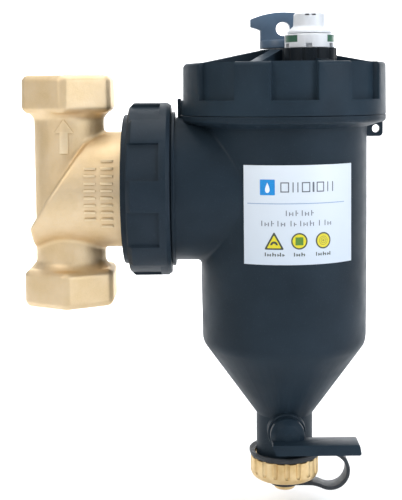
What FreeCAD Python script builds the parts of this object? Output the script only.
import FreeCAD, Part
import math
import os

# Magnetic system filter for a heating circuit, in millimetres.
# The origin is the centre of the brass tee's lower (inlet) thread mouth, and +Z runs up the
# heating pipe. The filter hangs off the tee's side port, which lies along +X, and its front,
# with the label and the drain lever, faces -Y.

# Driving dimensions of the brass tee
TEE_HEIGHT = 101.3
PORT_Z = TEE_HEIGHT / 2.0
PIPE_RADIUS = 15.45
PIPE_BORE_RADIUS = 12.4
HEX_FLATS = 39.0
HEX_CORNER_FLATS = 42.8
HEX_HEIGHT = 16.4
HEX_SHOULDER = 2.4
THREAD_BORE_RADIUS = 15.146
THREAD_BORE_LENGTH = 14.0
THREAD_RELIEF = 3.0
BRANCH_RADIUS = 25.6
BRANCH_START_X = -16.3
ANNULUS_RADIUS = 21.0
CENTRE_TUBE_RADIUS = 12.4
CENTRE_BORE_RADIUS = 10.0
CASTING_WALL = 3.2
SPIGOT_RADIUS = 24.6
SPIGOT_END_X = 43.5

# Driving dimensions of the union
NUT_START_X = 24.55
NUT_END_X = 45.4
NUT_RADIUS = 38.35
NUT_THREAD_RADIUS = 32.9
PORT_THREAD_RADIUS = 32.7
PORT_RADIUS = 31.75
PORT_BORE_RADIUS = 24.9
PORT_FILLET = 1.8

# Driving dimensions of the housing
FILTER_X = 95.0
BODY_RADIUS = 36.9
BODY_FOOT_RADIUS = 36.5
BODY_WALL = 3.3
FLANGE_RADIUS = 45.2
FLANGE_TOP_Z = 83.2
MOUTH_TOP_Z = 97.0
MOUTH_RADIUS = 39.4
CONE_TOP_Z = -17.5
CONE_FOOT_Z = -50.9
NECK_RADIUS = 12.6
NECK_BORE_RADIUS = 10.2
NECK_FOOT_Z = -70.1

# Driving dimensions of the cap
CAP_RADIUS = 45.0
CAP_TOP_Z = 105.8
CAP_THREAD_RADIUS = 39.7
CAP_ROOF_Z = 97.6
CAP_FLOOR_Z = 100.2
CAP_BOSS_RADIUS = 10.4
CAP_BOSS_TOP_Z = 111.7
GRIP_COUNT = 8
GRIP_ANGLE = 25.0
CAP_TURN = 2.3

# Driving dimensions of the magnet, its pocket and the strainer
POCKET_RADIUS = 8.6
POCKET_BORE_RADIUS = 7.7
POCKET_FOOT_Z = -13.0
MAGNET_TUBE_RADIUS = 7.5
MAGNET_RADIUS = 6.8
MAGNET_COUNT = 4
MAGNET_LENGTH = 22.0
POLE_THICKNESS = 3.0
STRAINER_RADIUS = 22.5
STRAINER_FOOT_Z = 26.0
STRAINER_TOP_Z = 79.0

# Driving dimensions of the air vent
VENT_X = 105.0
VENT_Y = -19.5
VENT_RADIUS = 10.6
VENT_FOOT_Z = 111.6
WINDOW_ANGLE = 47.0
WINDOW_TURN = 57.5

# Driving dimensions of the drain valve and its cap
VALVE_Z = -56.0
BALL_RADIUS = 8.4
BALL_BORE_RADIUS = 5.0
STEM_RADIUS = 3.0
LEVER_HUB_RADIUS = 7.5
LEVER_REACH = 31.2
LEVER_FRONT_Y = -27.6
LEVER_BACK_Y = -16.4
DRAIN_THREAD_RADIUS = 13.15
DRAIN_CAP_RADIUS = 15.3
DRAIN_CAP_TOP_Z = -70.7
DRAIN_CAP_FOOT_Z = -80.4
DRAIN_GROOVES = 18
STRAP_WIDTH = 8.0
STRAP_THICKNESS = 1.6

# Clearances
RUNNING_GAP = 0.08
LOOSE_GAP = 0.3

X_AXIS = FreeCAD.Vector(1, 0, 0)
Y_AXIS = FreeCAD.Vector(0, 1, 0)
Z_AXIS = FreeCAD.Vector(0, 0, 1)


# General shapes

def vector(x, y, z):
    return FreeCAD.Vector(x, y, z)


def rounded_face(corners, place):
    """Face inside corners (a, b) or (a, b, radius); place turns a pair into a 3-D point."""
    count = len(corners)
    flat = [FreeCAD.Vector(corner[0], corner[1], 0) for corner in corners]
    radii = [corner[2] if len(corner) > 2 else 0.0 for corner in corners]
    entries = []
    for i in range(count):
        back = (flat[i - 1] - flat[i]).normalize()
        ahead = (flat[(i + 1) % count] - flat[i]).normalize()
        if radii[i] == 0.0:
            entries.append((flat[i], None, flat[i]))
            continue
        half = back.getAngle(ahead) / 2.0
        reach = radii[i] / math.tan(half)
        middle = (back + ahead).normalize()
        centre = flat[i] + middle * (radii[i] / math.sin(half))
        entries.append((flat[i] + back * reach, centre - middle * radii[i], flat[i] + ahead * reach))
    edges = []
    for i in range(count):
        start, middle, end = entries[i]
        following = entries[(i + 1) % count][0]
        if middle is not None:
            edges.append(Part.Arc(place(start), place(middle), place(end)).toShape())
        if (following - end).Length > 1e-6:
            edges.append(Part.LineSegment(place(end), place(following)).toShape())
    return Part.Face(Part.Wire(edges))


def turned(corners, x=0.0, y=0.0, angle=360.0):
    """Solid turned about a vertical axis from corners (radius, z, rounding)."""
    face = rounded_face(corners, lambda p: vector(x + p.x, y, p.y))
    return face.revolve(vector(x, y, 0), Z_AXIS, angle)


def turned_about_port(corners, angle=360.0):
    """Solid turned about the side port's axis from corners (x, radius, rounding)."""
    face = rounded_face(corners, lambda p: vector(p.x, 0, PORT_Z + p.y))
    return face.revolve(vector(0, 0, PORT_Z), X_AXIS, angle)


def turned_about_valve(corners):
    """Solid turned about the drain valve's stem axis from corners (y, radius, rounding)."""
    face = rounded_face(corners, lambda p: vector(FILTER_X, p.x, VALVE_Z + p.y))
    return face.revolve(vector(FILTER_X, 0, VALVE_Z), Y_AXIS, 360)


def front_plate(corners, front_y, back_y):
    """Flat plate with its outline in X and Z, standing between two Y values."""
    face = rounded_face(corners, lambda p: vector(p.x, front_y, p.y))
    return face.extrude(vector(0, back_y - front_y, 0))


def cylinder(radius, foot_z, top_z, x=0.0, y=0.0):
    return Part.makeCylinder(radius, top_z - foot_z, vector(x, y, foot_z), Z_AXIS)


def port_cylinder(radius, start_x, end_x):
    return Part.makeCylinder(radius, end_x - start_x, vector(start_x, 0, PORT_Z), X_AXIS)


def valve_cylinder(radius, start_y, end_y):
    return Part.makeCylinder(radius, end_y - start_y, vector(FILTER_X, start_y, VALVE_Z), Y_AXIS)


def block(low, high):
    size = vector(*high) - vector(*low)
    return Part.makeBox(size.x, size.y, size.z, vector(*low))


def spun_copies(shape, count, x, y, first=0.0, axis=Z_AXIS, z=0.0):
    """Copies of a shape evenly spaced about an axis through (x, y, z)."""
    copies = []
    for i in range(count):
        copy = shape.copy()
        copy.rotate(vector(x, y, z), axis, first + i * 360.0 / count)
        copies.append(copy)
    return copies


def union(shapes):
    result = shapes[0].multiFuse(shapes[1:])
    return result.removeSplitter()


def ring_seal(centre, direction, radius, thickness):
    return Part.makeTorus(radius, thickness / 2.0, centre, direction)


def group(solids):
    return Part.makeCompound(solids)


# Brass tee

def hexagon(flats, foot_z, top_z, first_angle):
    radius = flats / 2.0 / math.cos(math.pi / 6.0)
    points = []
    for i in range(7):
        angle = math.radians(first_angle + 60.0 * i)
        points.append(vector(radius * math.cos(angle), radius * math.sin(angle), foot_z))
    return Part.Face(Part.makePolygon(points)).extrude(vector(0, 0, top_z - foot_z))


def hex_end(foot_z, top_z):
    """Hexagon with planed corners, its ends turned round."""
    envelope = turned([(0, foot_z), (22.2, foot_z, 1.6), (22.2, top_z, 1.6), (0, top_z)])
    flats = hexagon(HEX_FLATS, foot_z, top_z, 30.0)
    corners = hexagon(HEX_CORNER_FLATS, foot_z, top_z, 0.0)
    return envelope.common(flats).common(corners)


def diagonal_half(offset):
    """Block on the port's side of the tee's slanting shoulder, moved towards the port by offset."""
    low = vector(-20.4, 0, 28.0)
    high = vector(11.6, 0, 76.0)
    along = (high - low).normalize()
    across = vector(along.z, 0, -along.x)
    start = low - along * 60.0 + across * offset
    side = start + along * 200.0
    corners = [start, side, side + across * 120.0, start + across * 120.0, start]
    face = Part.Face(Part.makePolygon([point - Y_AXIS * 60.0 for point in corners]))
    return face.extrude(Y_AXIS * 120.0)


def tee_casting():
    top_hex_z = TEE_HEIGHT - HEX_HEIGHT
    pipe = turned([
        (0, 0),
        (19.0, 0),
        (19.0, HEX_HEIGHT),
        (PIPE_RADIUS, HEX_HEIGHT + HEX_SHOULDER, 1.6),
        (PIPE_RADIUS, top_hex_z - HEX_SHOULDER, 1.6),
        (19.0, top_hex_z),
        (19.0, TEE_HEIGHT),
        (0, TEE_HEIGHT),
    ])
    branch = port_cylinder(BRANCH_RADIUS, BRANCH_START_X, 28.2).common(diagonal_half(0.0))
    spigot = turned_about_port([
        (20.0, 0),
        (20.0, 23.2),
        (31.1, 23.2),
        (31.1, SPIGOT_RADIUS),
        (35.6, SPIGOT_RADIUS),
        (35.6, 22.5),
        (39.0, 22.5),
        (39.0, SPIGOT_RADIUS),
        (SPIGOT_END_X, SPIGOT_RADIUS, 0.8),
        (SPIGOT_END_X, 0),
    ])
    outside = union([pipe, hex_end(0.0, HEX_HEIGHT), hex_end(top_hex_z, TEE_HEIGHT), branch, spigot])

    inlet_bore = cylinder(PIPE_BORE_RADIUS, -1.0, PORT_Z)
    annulus = port_cylinder(ANNULUS_RADIUS, BRANCH_START_X + CASTING_WALL, SPIGOT_END_X + 1)
    annulus = annulus.common(diagonal_half(CASTING_WALL))
    dirty_side = inlet_bore.fuse(annulus)
    outlet_wall = union([
        port_cylinder(CENTRE_TUBE_RADIUS, 0.0, SPIGOT_END_X + 2),
        Part.makeSphere(CENTRE_TUBE_RADIUS, vector(0, 0, PORT_Z)),
        cylinder(PIPE_BORE_RADIUS + 1.6, PORT_Z, TEE_HEIGHT),
    ])
    dirty_side = dirty_side.cut(outlet_wall)
    clean_side = union([
        port_cylinder(CENTRE_BORE_RADIUS, 0.0, SPIGOT_END_X + 1),
        Part.makeSphere(CENTRE_BORE_RADIUS, vector(0, 0, PORT_Z)),
        cylinder(CENTRE_BORE_RADIUS, PORT_Z, TEE_HEIGHT + 1),
    ])
    low_thread = cylinder(THREAD_BORE_RADIUS, -1.0, THREAD_BORE_LENGTH)
    high_thread = cylinder(THREAD_BORE_RADIUS, TEE_HEIGHT - THREAD_BORE_LENGTH, TEE_HEIGHT + 1)
    thread_relief = cylinder(PIPE_BORE_RADIUS, TEE_HEIGHT - THREAD_BORE_LENGTH - THREAD_RELIEF, TEE_HEIGHT)
    body = outside.cut(dirty_side).cut(clean_side).cut([low_thread, high_thread, thread_relief])

    tip_z = 81.4
    arrow = front_plate([
        (0, tip_z),
        (3.65, tip_z - 5.0),
        (1.85, tip_z - 5.0),
        (1.85, tip_z - 14.0, 0.5),
        (-1.85, tip_z - 14.0, 0.5),
        (-1.85, tip_z - 5.0),
        (-3.65, tip_z - 5.0),
    ], -(PIPE_RADIUS + 0.9), -(PIPE_RADIUS - 2.0))
    arrow_shell = cylinder(PIPE_RADIUS + 0.7, tip_z - 15.0, tip_z + 1.0)
    return union([body, arrow.common(arrow_shell)])


def port_o_ring():
    return ring_seal(vector(37.3, 0, PORT_Z), X_AXIS, 23.55, 2.0)


def retaining_ring():
    """Split ring that snaps into the tee's groove and holds the union nut."""
    ring = turned_about_port([
        (28.5, 23.3),
        (28.5, 31.3, 0.3),
        (30.8, 31.3, 0.3),
        (30.8, 23.3),
    ])
    gap = block((28, -2.0, PORT_Z - 33), (32, 2.0, PORT_Z - 20))
    return ring.cut(gap)


# Union nut

def union_nut():
    nut = turned_about_port([
        (NUT_START_X, BRANCH_RADIUS + 0.4),
        (NUT_START_X, 33.1, 0.6),
        (27.1, 33.1),
        (27.1, 36.4),
        (29.1, NUT_RADIUS, 0.5),
        (NUT_END_X - 1.6, NUT_RADIUS, 0.3),
        (NUT_END_X, 37.2, 0.2),
        (NUT_END_X, NUT_THREAD_RADIUS),
        (31.3, NUT_THREAD_RADIUS),
        (31.3, 31.8),
        (28.2, 31.8),
        (28.2, BRANCH_RADIUS + 0.4),
    ])
    grip = turned_about_port([
        (26.0, NUT_RADIUS - 1.3),
        (26.0, NUT_RADIUS + 2.0),
        (40.8, NUT_RADIUS + 2.0),
        (40.8, NUT_RADIUS - 1.3),
    ], GRIP_ANGLE)
    first = 90.0 - GRIP_ANGLE / 2.0 + 22.5
    return nut.cut(spun_copies(grip, GRIP_COUNT, 0, 0, first, X_AXIS, PORT_Z))


# Housing

def port_fillet(shape, radius):
    """Rounds the inside corner where the side port meets the body."""
    corner = []
    for edge in shape.Edges:
        box = edge.BoundBox
        if box.XMin > NUT_END_X + 5.0 and box.XMax < FILTER_X and box.YLength > 2.0 * PORT_RADIUS - 1.0:
            corner.append(edge)
    return shape.makeFillet(radius, corner)


def housing_outside():
    body = turned([
        (0, MOUTH_TOP_Z - 5.0),
        (BODY_RADIUS, MOUTH_TOP_Z - 5.0),
        (BODY_RADIUS, 10.0),
        (BODY_FOOT_RADIUS, CONE_TOP_Z, 8.0),
        (NECK_RADIUS, CONE_FOOT_Z, 1.0),
        (NECK_RADIUS, NECK_FOOT_Z, 0.5),
        (0, NECK_FOOT_Z),
    ], FILTER_X)
    port = port_cylinder(PORT_RADIUS, NUT_END_X + 1.0, FILTER_X)
    body = port_fillet(body.fuse(port), PORT_FILLET)
    flange = turned([
        (BODY_RADIUS - 2.0, MOUTH_TOP_Z),
        (MOUTH_RADIUS, MOUTH_TOP_Z, 0.6),
        (MOUTH_RADIUS, FLANGE_TOP_Z),
        (FLANGE_RADIUS, FLANGE_TOP_Z, 0.3),
        (FLANGE_RADIUS, 80.4, 1.6),
        (BODY_RADIUS - 1.0, 77.6),
        (BODY_RADIUS - 2.0, 77.6),
    ], FILTER_X)
    port_thread = turned_about_port([
        (31.4, 0),
        (31.4, PORT_THREAD_RADIUS, 0.8),
        (NUT_END_X + 0.4, PORT_THREAD_RADIUS),
        (NUT_END_X + 0.4, 34.2, 0.3),
        (NUT_END_X + 1.8, 34.2, 0.3),
        (NUT_END_X + 1.8, 0),
    ])
    boss = turned_about_valve([(-16.0, 0), (-16.0, 8.4, 0.6), (0, 8.4), (0, 0)])
    lug = front_plate([
        (FILTER_X + 30, 73.2),
        (139.1, 73.2, 1.8),
        (139.1, 80.5),
        (FILTER_X + 30, 80.5),
    ], -1.8, 1.8)
    tab = turned([
        (44.0, 79.6),
        (46.8, 79.6, 0.8),
        (46.8, 90.7, 0.5),
        (FLANGE_RADIUS + 0.1, 90.7),
        (FLANGE_RADIUS + 0.1, FLANGE_TOP_Z),
        (44.0, FLANGE_TOP_Z),
    ], FILTER_X, 0.0, 8.0)
    tab.rotate(vector(FILTER_X, 0, 0), Z_AXIS, 176.0)
    return union([body, flange, port_thread, boss, lug, tab])


def housing():
    chamber = turned([
        (0, MOUTH_TOP_Z + 1),
        (MOUTH_RADIUS - 3.4, MOUTH_TOP_Z + 1),
        (MOUTH_RADIUS - 3.4, STRAINER_TOP_Z + 2.4),
        (BODY_RADIUS - BODY_WALL, STRAINER_TOP_Z - 1.6),
        (BODY_FOOT_RADIUS - BODY_WALL, CONE_TOP_Z + 1.0, 6.0),
        (6.0, CONE_FOOT_Z + 4.5),
        (0, CONE_FOOT_Z + 4.5),
    ], FILTER_X)
    cavities = [
        chamber,
        cylinder(6.0, CONE_FOOT_Z, CONE_FOOT_Z + 6.0, FILTER_X),
        cylinder(NECK_BORE_RADIUS, NECK_FOOT_Z - 1, CONE_FOOT_Z + 3.2, FILTER_X),
        port_cylinder(PORT_BORE_RADIUS, 30.0, SPIGOT_END_X + 1.5),
        port_cylinder(ANNULUS_RADIUS, 30.0, FILTER_X),
        valve_cylinder(STEM_RADIUS + RUNNING_GAP, -17.0, 0.0),
        valve_cylinder(6.0, -17.0, -11.0),
        Part.makeCylinder(1.75, 6, vector(136.1, -3, 76.6), Y_AXIS),
    ]
    return housing_outside().cut(cavities)


def label():
    """Printed film on the front of the body."""
    film = turned([
        (BODY_RADIUS, 21.7),
        (BODY_RADIUS + 0.15, 21.7),
        (BODY_RADIUS + 0.15, 63.1),
        (BODY_RADIUS, 63.1),
    ], FILTER_X, 0.0, 76.8)
    film.rotate(vector(FILTER_X, 0, 0), Z_AXIS, -90.0 - 30.5)
    return film


def flow_duct():
    """Plastic tube that carries clean water from the strainer to the tee's centre tube."""
    duct = turned_about_port([
        (36.0, CENTRE_TUBE_RADIUS + 0.3),
        (36.0, CENTRE_TUBE_RADIUS + 2.2, 0.4),
        (47.0, CENTRE_TUBE_RADIUS + 2.2, 0.4),
        (49.0, CENTRE_TUBE_RADIUS, 0.4),
        (FILTER_X - STRAINER_RADIUS - 1.2, CENTRE_TUBE_RADIUS),
        (FILTER_X - STRAINER_RADIUS - 1.2, CENTRE_BORE_RADIUS),
        (SPIGOT_END_X + 0.3, CENTRE_BORE_RADIUS),
        (SPIGOT_END_X + 0.3, CENTRE_TUBE_RADIUS + 0.3),
    ])
    rib = block((46.2, -1.0, PORT_Z + 12.0), (60.0, 1.0, PORT_Z + ANNULUS_RADIUS - 0.1))
    ribs = spun_copies(rib, 3, 0, 0, 0.0, X_AXIS, PORT_Z)
    inside = port_cylinder(CENTRE_BORE_RADIUS, 40.0, 80.0)
    return union([duct] + ribs).cut(inside)


def duct_seal():
    """Flat ring between the duct and the strainer's window."""
    start = FILTER_X - STRAINER_RADIUS - 1.2
    ring = turned_about_port([(start, 10.2), (start, 12.2), (start + 3.0, 12.2), (start + 3.0, 10.2)])
    strainer = cylinder(STRAINER_RADIUS + 0.05, 20.0, 80.0, FILTER_X)
    return ring.cut(strainer)


# Strainer cartridge, which lifts with the cap

def strainer_frame():
    outer = STRAINER_RADIUS
    inner = STRAINER_RADIUS - 1.6
    foot_ring = turned([
        (POCKET_RADIUS + LOOSE_GAP, STRAINER_FOOT_Z),
        (outer, STRAINER_FOOT_Z, 0.6),
        (outer, STRAINER_FOOT_Z + 4.0),
        (inner, STRAINER_FOOT_Z + 4.0),
        (inner, STRAINER_FOOT_Z + 2.0),
        (POCKET_RADIUS + LOOSE_GAP, STRAINER_FOOT_Z + 2.0),
    ], FILTER_X)
    top_ring = turned([
        (inner, STRAINER_TOP_Z - 4.0),
        (outer, STRAINER_TOP_Z - 4.0),
        (32.8, STRAINER_TOP_Z),
        (32.8, STRAINER_TOP_Z + 2.0, 0.5),
        (inner, STRAINER_TOP_Z + 2.0),
    ], FILTER_X)
    rib = block(
        (FILTER_X + inner + 0.2, -1.5, STRAINER_FOOT_Z + 3),
        (FILTER_X + outer - 0.3, 1.5, STRAINER_TOP_Z),
    )
    ribs = spun_copies(rib, 6, FILTER_X, 0)
    window = port_cylinder(13.6, FILTER_X - 40, FILTER_X)
    shell = cylinder(outer, STRAINER_FOOT_Z, STRAINER_TOP_Z, FILTER_X)
    shell = shell.cut(cylinder(inner, STRAINER_FOOT_Z - 1, STRAINER_TOP_Z + 1, FILTER_X))
    window_ring = window.common(shell)
    opening = port_cylinder(CENTRE_BORE_RADIUS, FILTER_X - 40, FILTER_X)
    return union([foot_ring, top_ring, window_ring] + ribs).cut(opening)


def strainer_mesh():
    """Stainless gauze sleeve inside the cage."""
    radius = STRAINER_RADIUS - 1.65
    sleeve = turned([
        (radius - 0.4, STRAINER_FOOT_Z + 2.2),
        (radius, STRAINER_FOOT_Z + 2.2),
        (radius, STRAINER_TOP_Z + 1.0),
        (radius - 0.4, STRAINER_TOP_Z + 1.0),
    ], FILTER_X)
    return sleeve.cut(port_cylinder(CENTRE_BORE_RADIUS + 1.0, FILTER_X - 40, FILTER_X))


def cap_o_ring():
    return ring_seal(vector(FILTER_X, 0, STRAINER_TOP_Z + 3.6), Z_AXIS, 34.2, 3.0)


# Cap

def cap():
    foot_z = FLANGE_TOP_Z + 0.15
    shell = turned([
        (CAP_THREAD_RADIUS, foot_z),
        (FLANGE_RADIUS, foot_z, 0.3),
        (CAP_RADIUS, CAP_TOP_Z, 1.5),
        (38.8, CAP_TOP_Z, 0.4),
        (38.8, CAP_FLOOR_Z),
        (0, CAP_FLOOR_Z),
        (0, CAP_ROOF_Z),
        (CAP_THREAD_RADIUS, CAP_ROOF_Z),
    ], FILTER_X)
    boss = turned([
        (0, CAP_ROOF_Z),
        (CAP_BOSS_RADIUS, CAP_ROOF_Z),
        (CAP_BOSS_RADIUS, CAP_BOSS_TOP_Z, 0.5),
        (0, CAP_BOSS_TOP_Z),
    ], FILTER_X)
    rib = front_plate([
        (FILTER_X + 5.0, CAP_FLOOR_Z - 1.0),
        (FILTER_X + 40.0, CAP_FLOOR_Z - 1.0),
        (FILTER_X + 40.0, CAP_TOP_Z),
        (FILTER_X + CAP_BOSS_RADIUS, CAP_BOSS_TOP_Z - 0.2),
        (FILTER_X + 5.0, CAP_BOSS_TOP_Z - 0.2),
    ], -2.5, 2.5)
    ribs = spun_copies(rib, GRIP_COUNT, FILTER_X, 0, 22.5 + CAP_TURN)
    skirt = turned([
        (0, CAP_ROOF_Z - 10.0),
        (35.6, CAP_ROOF_Z - 10.0, 0.4),
        (35.6, CAP_ROOF_Z + 1.0),
        (0, CAP_ROOF_Z + 1.0),
    ], FILTER_X)
    skirt_inside = cylinder(33.0, CAP_ROOF_Z - 11.0, CAP_ROOF_Z, FILTER_X)
    vent_seat = cylinder(11.4, CAP_ROOF_Z + 1.0, VENT_FOOT_Z - 0.1, VENT_X, VENT_Y)
    flute = cylinder(0.9, CAP_FLOOR_Z + 2.0, VENT_FOOT_Z + 1, VENT_X + 11.8, VENT_Y)
    vent_seat = vent_seat.cut(spun_copies(flute, 12, VENT_X, VENT_Y, 10.0))
    body = union([shell, boss, skirt.cut(skirt_inside), vent_seat] + ribs)

    grip = turned([
        (CAP_RADIUS - 2.7, 89.9),
        (CAP_RADIUS + 2.0, 89.9),
        (CAP_RADIUS + 2.0, CAP_TOP_Z + 1),
        (CAP_RADIUS - 2.7, CAP_TOP_Z + 1),
    ], FILTER_X, 0.0, GRIP_ANGLE)
    cuts = spun_copies(grip, GRIP_COUNT, FILTER_X, 0, CAP_TURN - GRIP_ANGLE / 2.0)
    cuts.append(cylinder(POCKET_RADIUS, CAP_ROOF_Z - 1, CAP_BOSS_TOP_Z + 1, FILTER_X))
    cuts.append(cylinder(6.0, CAP_ROOF_Z - 1, VENT_FOOT_Z, VENT_X, VENT_Y))
    return body.cut(cuts)


def magnet_pocket():
    """Closed stainless tube that keeps the magnet dry; its flange sits under the cap's roof."""
    return turned([
        (0, POCKET_FOOT_Z),
        (POCKET_RADIUS, POCKET_FOOT_Z, 2.0),
        (POCKET_RADIUS, CAP_ROOF_Z - 5.0),
        (13.0, CAP_ROOF_Z - 5.0),
        (13.0, CAP_ROOF_Z - 2.2),
        (POCKET_RADIUS, CAP_ROOF_Z - 2.2),
        (POCKET_RADIUS, CAP_BOSS_TOP_Z),
        (POCKET_BORE_RADIUS, CAP_BOSS_TOP_Z),
        (POCKET_BORE_RADIUS, POCKET_FOOT_Z + 1.2, 1.5),
        (0, POCKET_FOOT_Z + 1.2),
    ], FILTER_X)


def pocket_o_ring():
    return ring_seal(vector(FILTER_X, 0, CAP_ROOF_Z - 1.1), Z_AXIS, 10.2, 2.0)


def vent_body():
    """White vent body with feet round its base and windows in its wall."""
    tail_foot_z = CAP_ROOF_Z - 3.0
    body = turned([
        (5.9, tail_foot_z, 0.5),
        (5.9, VENT_FOOT_Z),
        (VENT_RADIUS, VENT_FOOT_Z, 0.3),
        (VENT_RADIUS, VENT_FOOT_Z + 5.8, 0.6),
        (8.4, VENT_FOOT_Z + 5.8),
        (8.4, VENT_FOOT_Z + 2.2),
        (3.4, VENT_FOOT_Z + 2.2),
        (3.4, VENT_FOOT_Z - 6.0),
        (1.2, VENT_FOOT_Z - 8.0),
        (1.2, tail_foot_z),
    ], VENT_X, VENT_Y)
    notch = block(
        (VENT_X + 9.0, VENT_Y - 1.3, VENT_FOOT_Z - 0.5),
        (VENT_X + 12.0, VENT_Y + 1.3, VENT_FOOT_Z + 1.8),
    )
    notches = spun_copies(notch, 6, VENT_X, VENT_Y, 23.0)
    window = turned([
        (7.0, VENT_FOOT_Z + 2.3),
        (12.0, VENT_FOOT_Z + 2.3),
        (12.0, VENT_FOOT_Z + 5.2),
        (7.0, VENT_FOOT_Z + 5.2),
    ], VENT_X, VENT_Y, WINDOW_ANGLE)
    windows = spun_copies(window, 3, VENT_X, VENT_Y, -90.0 - WINDOW_TURN - WINDOW_ANGLE / 2.0)
    return body.cut(notches + windows)


def vent_core():
    """Green ring whose three tabs fill the vent body's windows."""
    ring = turned([
        (6.2, VENT_FOOT_Z + 2.25),
        (8.3, VENT_FOOT_Z + 2.25),
        (8.3, VENT_FOOT_Z + 5.6),
        (6.2, VENT_FOOT_Z + 5.6),
    ], VENT_X, VENT_Y)
    tab_angle = WINDOW_ANGLE - 1.4
    tab = turned([
        (8.0, VENT_FOOT_Z + 2.4),
        (VENT_RADIUS - 0.2, VENT_FOOT_Z + 2.4),
        (VENT_RADIUS - 0.2, VENT_FOOT_Z + 5.1),
        (8.0, VENT_FOOT_Z + 5.1),
    ], VENT_X, VENT_Y, tab_angle)
    tabs = spun_copies(tab, 3, VENT_X, VENT_Y, -90.0 - WINDOW_TURN - tab_angle / 2.0)
    return union([ring] + tabs)


def vent_o_ring():
    return ring_seal(vector(VENT_X, VENT_Y, CAP_ROOF_Z - 1.0), Z_AXIS, 6.9, 1.8)


def vent_knob():
    """Hand wheel that opens the vent."""
    foot_z = VENT_FOOT_Z + 5.8 + LOOSE_GAP
    top_z = 126.2
    knob = turned([
        (0, foot_z),
        (9.5, foot_z, 0.4),
        (9.5, foot_z + 0.9, 0.5),
        (6.9, foot_z + 3.0, 1.2),
        (6.7, top_z, 0.9),
        (0, top_z),
    ], VENT_X, VENT_Y)
    slot = block((VENT_X - 2.6, VENT_Y - 0.6, top_z - 1.6), (VENT_X + 2.6, VENT_Y + 0.6, top_z + 1))
    socket = cylinder(2.0, foot_z - 1, foot_z + 5.0, VENT_X, VENT_Y)
    return knob.cut([slot, socket])


def vent_needle():
    """Brass needle pressed into the knob, closing the vent's seat."""
    top_z = VENT_FOOT_Z + 5.8 + LOOSE_GAP + 5.0
    return turned([
        (0, VENT_FOOT_Z - 6.2),
        (1.6, VENT_FOOT_Z - 4.4),
        (3.0, VENT_FOOT_Z - 4.4),
        (3.0, VENT_FOOT_Z + 2.0),
        (2.0, VENT_FOOT_Z + 2.0),
        (2.0, top_z),
        (0, top_z),
    ], VENT_X, VENT_Y)


# Magnet rod

def magnet_handle():
    """Grip with a pull hole on a round base."""
    foot_z = CAP_BOSS_TOP_Z + 0.5
    base = turned([
        (0, foot_z),
        (10.2, foot_z, 0.3),
        (10.2, foot_z + 2.9),
        (9.9, foot_z + 3.6, 0.3),
        (0, foot_z + 3.6),
    ], FILTER_X)
    plug = cylinder(MAGNET_RADIUS - 0.05, foot_z - 8.0, foot_z + 1.0, FILTER_X)
    crown = Part.Arc(vector(FILTER_X - 14.3, -3.2, 125.0), vector(FILTER_X, -3.2, 128.0),
                     vector(FILTER_X + 14.3, -3.2, 125.0)).toShape()
    corners = [
        vector(FILTER_X + 14.3, -3.2, 125.0),
        vector(FILTER_X + 14.3, -3.2, 121.8),
        vector(FILTER_X + 10.2, -3.2, 120.4),
        vector(FILTER_X + 10.0, -3.2, foot_z + 1.0),
        vector(FILTER_X - 10.0, -3.2, foot_z + 1.0),
        vector(FILTER_X - 10.2, -3.2, 120.4),
        vector(FILTER_X - 14.3, -3.2, 121.8),
        vector(FILTER_X - 14.3, -3.2, 125.0),
    ]
    sides = Part.makePolygon(corners)
    grip = Part.Face(Part.Wire([crown] + sides.Edges)).extrude(Y_AXIS * 6.4)
    within_base = cylinder(10.2, foot_z, foot_z + 8.6, FILTER_X)
    lower = grip.common(within_base)
    upper = grip.common(block((70, -5, foot_z + 8.0), (120, 5, 130)))
    hole = Part.makeCylinder(3.1, 10, vector(FILTER_X, -5, 120.8), Y_AXIS)
    return union([base, plug, lower, upper]).cut(hole)


def magnet_tube():
    """Thin tube round the magnets, crimped to the handle's plug."""
    return turned([
        (MAGNET_RADIUS, magnet_foot_z()),
        (MAGNET_TUBE_RADIUS, magnet_foot_z(), 0.2),
        (MAGNET_TUBE_RADIUS, CAP_BOSS_TOP_Z + 0.4),
        (MAGNET_RADIUS, CAP_BOSS_TOP_Z + 0.4),
    ], FILTER_X)


def magnet_foot_z():
    return POCKET_FOOT_Z + 1.2 + 1.3


def magnet_end_plug():
    foot_z = magnet_foot_z()
    return cylinder(MAGNET_RADIUS - 0.05, foot_z, foot_z + 3.0, FILTER_X)


def magnet_pitch():
    return MAGNET_LENGTH + POLE_THICKNESS


def magnets():
    stack = []
    for i in range(MAGNET_COUNT):
        foot_z = magnet_foot_z() + 3.0 + POLE_THICKNESS + i * magnet_pitch()
        stack.append(cylinder(MAGNET_RADIUS - 0.1, foot_z, foot_z + MAGNET_LENGTH, FILTER_X))
    return group(stack)


def pole_pieces():
    """Soft iron discs between the magnets."""
    stack = []
    for i in range(MAGNET_COUNT + 1):
        foot_z = magnet_foot_z() + 3.0 + i * magnet_pitch()
        stack.append(cylinder(MAGNET_RADIUS - 0.1, foot_z, foot_z + POLE_THICKNESS, FILTER_X))
    return group(stack)


# Drain valve

def ball_space():
    return Part.makeSphere(BALL_RADIUS + 0.05, vector(FILTER_X, 0, VALVE_Z))


def upper_seat():
    ring = turned([
        (5.2, -51.6),
        (NECK_BORE_RADIUS, -51.6),
        (NECK_BORE_RADIUS, -47.7),
        (5.2, -47.7),
    ], FILTER_X)
    return ring.cut(ball_space())


def lower_seat():
    ring = turned([
        (5.2, -63.0),
        (NECK_BORE_RADIUS, -63.0),
        (NECK_BORE_RADIUS, -60.4),
        (5.2, -60.4),
    ], FILTER_X)
    return ring.cut(ball_space())


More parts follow.
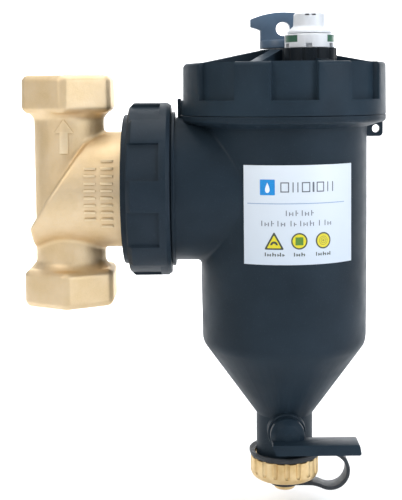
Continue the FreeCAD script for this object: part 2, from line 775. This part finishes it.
def drain_outlet():
    """Brass nipple screwed into the neck; its outside thread takes the drain cap or a hose."""
    return turned([
        (7.5, -63.05),
        (NECK_BORE_RADIUS, -63.05),
        (NECK_BORE_RADIUS, NECK_FOOT_Z - 0.1),
        (NECK_RADIUS, NECK_FOOT_Z - 0.1),
        (DRAIN_THREAD_RADIUS, -70.9, 0.3),
        (DRAIN_THREAD_RADIUS, -76.4, 0.6),
        (9.0, -76.4),
        (9.0, -66.0),
        (7.5, -66.0),
    ], FILTER_X)


def drain_ball():
    ball = Part.makeSphere(BALL_RADIUS, vector(FILTER_X, 0, VALVE_Z))
    bore = Part.makeCylinder(BALL_BORE_RADIUS, 30, vector(FILTER_X - 15, 0, VALVE_Z), X_AXIS)
    slot = block((FILTER_X - 5.0, -9.0, VALVE_Z - 1.1), (FILTER_X + 5.0, -6.6, VALVE_Z + 1.1))
    return ball.cut([bore, slot])


def drain_stem():
    """Stem from the ball's slot out through the boss to the lever."""
    tongue = block((FILTER_X - 2.8, -8.6, VALVE_Z - 1.05), (FILTER_X + 2.8, -6.7, VALVE_Z + 1.05))
    shaft = turned_about_valve([(-21.4, 0), (-21.4, STEM_RADIUS, 0.3), (-8.3, STEM_RADIUS), (-8.3, 0)])
    groove = turned_about_valve([(-13.5, 2.3), (-13.5, 3.5), (-11.7, 3.5), (-11.7, 2.3)])
    flats = [
        block((FILTER_X - 5, -28, VALVE_Z + 2.2), (FILTER_X + 5, -16.2, VALVE_Z + 5)),
        block((FILTER_X - 5, -28, VALVE_Z - 5), (FILTER_X + 5, -16.2, VALVE_Z - 2.2)),
    ]
    return union([shaft, tongue]).cut(flats + [groove])


def stem_o_ring():
    return ring_seal(vector(FILTER_X, -12.6, VALVE_Z), Y_AXIS, 3.15, 1.5)


def stem_bush():
    """Gland bush pressed into the boss round the stem."""
    return turned_about_valve([
        (-15.8, STEM_RADIUS + RUNNING_GAP),
        (-15.8, 6.0, 0.3),
        (-14.0, 6.0),
        (-14.0, STEM_RADIUS + RUNNING_GAP),
    ])


def drain_lever():
    """Lever with a domed hub; it lies to the right when shut and points down when open."""
    hub = turned_about_valve([
        (LEVER_BACK_Y, 0),
        (LEVER_BACK_Y, LEVER_HUB_RADIUS, 0.4),
        (-20.0, LEVER_HUB_RADIUS, 1.0),
        (-22.4, 5.4, 1.6),
        (-23.2, 2.0, 1.0),
        (-23.2, 0),
    ])
    foot_z = VALVE_Z - 6.4
    top_z = VALVE_Z - 1.8
    blade = front_plate([
        (FILTER_X - 7.2, top_z, 0.5),
        (FILTER_X - 5.4, foot_z, 0.9),
        (FILTER_X + LEVER_REACH, foot_z, 0.9),
        (FILTER_X + LEVER_REACH - 0.8, top_z, 0.9),
    ], LEVER_FRONT_Y, LEVER_BACK_Y)
    slot = block((FILTER_X - 3.05, -21.8, VALVE_Z - 2.25), (FILTER_X + 3.05, -16.0, VALVE_Z + 2.25))
    return hub.fuse(blade).removeSplitter().cut(slot)


def lever_clip():
    """Spring clip on the stem behind the lever's hub."""
    ring = turned_about_valve([(-16.3, 3.1), (-16.3, 5.0), (-16.05, 5.0), (-16.05, 3.1)])
    return ring


# Drain cap and its strap

def drain_cap():
    """Pressed brass cap with grip grooves and a nub that carries the strap."""
    body = turned([
        (DRAIN_THREAD_RADIUS + 0.1, DRAIN_CAP_TOP_Z),
        (DRAIN_CAP_RADIUS, DRAIN_CAP_TOP_Z, 0.3),
        (DRAIN_CAP_RADIUS, DRAIN_CAP_FOOT_Z, 3.4),
        (3.2, DRAIN_CAP_FOOT_Z - 1.0),
        (3.2, -84.2),
        (4.7, -84.2, 0.3),
        (4.7, -86.1, 0.8),
        (0, -86.1),
        (0, -78.2),
        (DRAIN_THREAD_RADIUS + 0.1, -78.2),
    ], FILTER_X)
    groove_radius = 1.3
    groove_x = FILTER_X + DRAIN_CAP_RADIUS + groove_radius - 0.75
    groove_end = Part.makeSphere(groove_radius, vector(groove_x, 0, -76.6))
    groove = cylinder(groove_radius, -76.6, DRAIN_CAP_TOP_Z + 1, groove_x).fuse(groove_end)
    grooves = spun_copies(groove, DRAIN_GROOVES, FILTER_X, 0, 10.0)
    return body.cut(grooves)


def drain_cap_washer():
    return turned([(7.6, -78.1), (12.9, -78.1), (12.9, -76.5), (7.6, -76.5)], FILTER_X)


def drain_strap():
    """Moulded rubber strap from a loose ring under the neck, round to an eyelet on the cap's nub."""
    ring = turned([
        (DRAIN_THREAD_RADIUS + LOOSE_GAP, -70.4),
        (15.3, -70.4, 0.5),
        (15.9, -69.0, 0.4),
        (15.9, -67.8, 0.3),
        (15.3, -67.8, 0.2),
        (14.2, -68.9, 0.3),
        (DRAIN_THREAD_RADIUS + LOOSE_GAP, -68.9),
    ], FILTER_X)
    eyelet = turned([(3.5, -84.0), (6.6, -84.0, 0.3), (6.6, -82.6, 0.3), (3.5, -82.6)], FILTER_X)
    loop_x = FILTER_X + 20.4
    loop_radius = 8.1
    loop_z = -77.5
    half = STRAP_THICKNESS / 2.0
    top_z = loop_z + loop_radius
    eye_z = -83.3
    back_radius = 14.0
    rise = eye_z - (loop_z - loop_radius)
    turn = math.acos(1.0 - rise / (loop_radius + back_radius))
    join = vector(loop_x - loop_radius * math.sin(turn), 0, loop_z - loop_radius * math.cos(turn))
    back_centre = vector(join.x - back_radius * math.sin(turn), 0, join.z - back_radius * math.cos(turn))

    def loop_point(radius, angle):
        return vector(loop_x + radius * math.cos(angle), 0, loop_z + radius * math.sin(angle))

    def back_point(radius, angle):
        return vector(back_centre.x + radius * math.cos(angle), 0, back_centre.z + radius * math.sin(angle))

    outer = loop_radius + half
    inner = loop_radius - half
    end_angle = -math.pi / 2.0 - turn
    middle_angle = (math.pi / 2.0 + end_angle) / 2.0
    back_start = math.pi / 2.0 - turn
    back_middle = math.pi / 2.0 - turn / 2.0
    ring_x = FILTER_X + 14.6
    eye_x = FILTER_X + 2.0
    edges = [
        Part.LineSegment(vector(ring_x, 0, top_z + half), loop_point(outer, math.pi / 2.0)),
        Part.Arc(loop_point(outer, math.pi / 2.0), loop_point(outer, middle_angle),
                 loop_point(outer, end_angle)),
        Part.Arc(loop_point(outer, end_angle), back_point(back_radius - half, back_middle),
                 back_point(back_radius - half, math.pi / 2.0)),
        Part.LineSegment(back_point(back_radius - half, math.pi / 2.0), vector(eye_x, 0, eye_z - half)),
        Part.LineSegment(vector(eye_x, 0, eye_z - half), vector(eye_x, 0, eye_z + half)),
        Part.LineSegment(vector(eye_x, 0, eye_z + half), back_point(back_radius + half, math.pi / 2.0)),
        Part.Arc(back_point(back_radius + half, math.pi / 2.0), back_point(back_radius + half, back_middle),
                 back_point(back_radius + half, back_start)),
        Part.Arc(loop_point(inner, end_angle), loop_point(inner, middle_angle),
                 loop_point(inner, math.pi / 2.0)),
        Part.LineSegment(loop_point(inner, math.pi / 2.0), vector(ring_x, 0, top_z - half)),
        Part.LineSegment(vector(ring_x, 0, top_z - half), vector(ring_x, 0, top_z + half)),
    ]
    face = Part.Face(Part.Wire([edge.toShape() for edge in edges]))
    face.translate(Y_AXIS * (-STRAP_WIDTH / 2.0))
    band = face.extrude(Y_AXIS * STRAP_WIDTH)
    cap_room = cylinder(15.6, -82.2, -70.6, FILTER_X)
    band = band.cut([cylinder(3.5, -90, -80, FILTER_X), cap_room])
    band = band.cut(cylinder(DRAIN_THREAD_RADIUS + 0.3, -75, -60, FILTER_X))
    return union([ring, eyelet, band])


PIECES = {
    "tee_casting": tee_casting,
    "port_o_ring": port_o_ring,
    "retaining_ring": retaining_ring,
    "union_nut": union_nut,
    "housing": housing,
    "label": label,
    "flow_duct": flow_duct,
    "duct_seal": duct_seal,
    "strainer_frame": strainer_frame,
    "strainer_mesh": strainer_mesh,
    "cap_o_ring": cap_o_ring,
    "cap": cap,
    "magnet_pocket": magnet_pocket,
    "pocket_o_ring": pocket_o_ring,
    "vent_body": vent_body,
    "vent_core": vent_core,
    "vent_o_ring": vent_o_ring,
    "vent_knob": vent_knob,
    "vent_needle": vent_needle,
    "magnet_handle": magnet_handle,
    "magnet_tube": magnet_tube,
    "magnet_end_plug": magnet_end_plug,
    "magnets": magnets,
    "pole_pieces": pole_pieces,
    "upper_seat": upper_seat,
    "lower_seat": lower_seat,
    "drain_outlet": drain_outlet,
    "drain_ball": drain_ball,
    "drain_stem": drain_stem,
    "stem_o_ring": stem_o_ring,
    "stem_bush": stem_bush,
    "drain_lever": drain_lever,
    "lever_clip": lever_clip,
    "drain_cap": drain_cap,
    "drain_cap_washer": drain_cap_washer,
    "drain_strap": drain_strap,
}

os.makedirs("parts", exist_ok=True)
for name, build in PIECES.items():
    shape = build()
    box = shape.BoundBox
    print(name, "solids", len(shape.Solids), "valid", shape.isValid(), "volume", round(shape.Volume, 1),
          "z", round(box.ZMin, 2), round(box.ZMax, 2))
    shape.exportStep("parts/" + name + ".step")
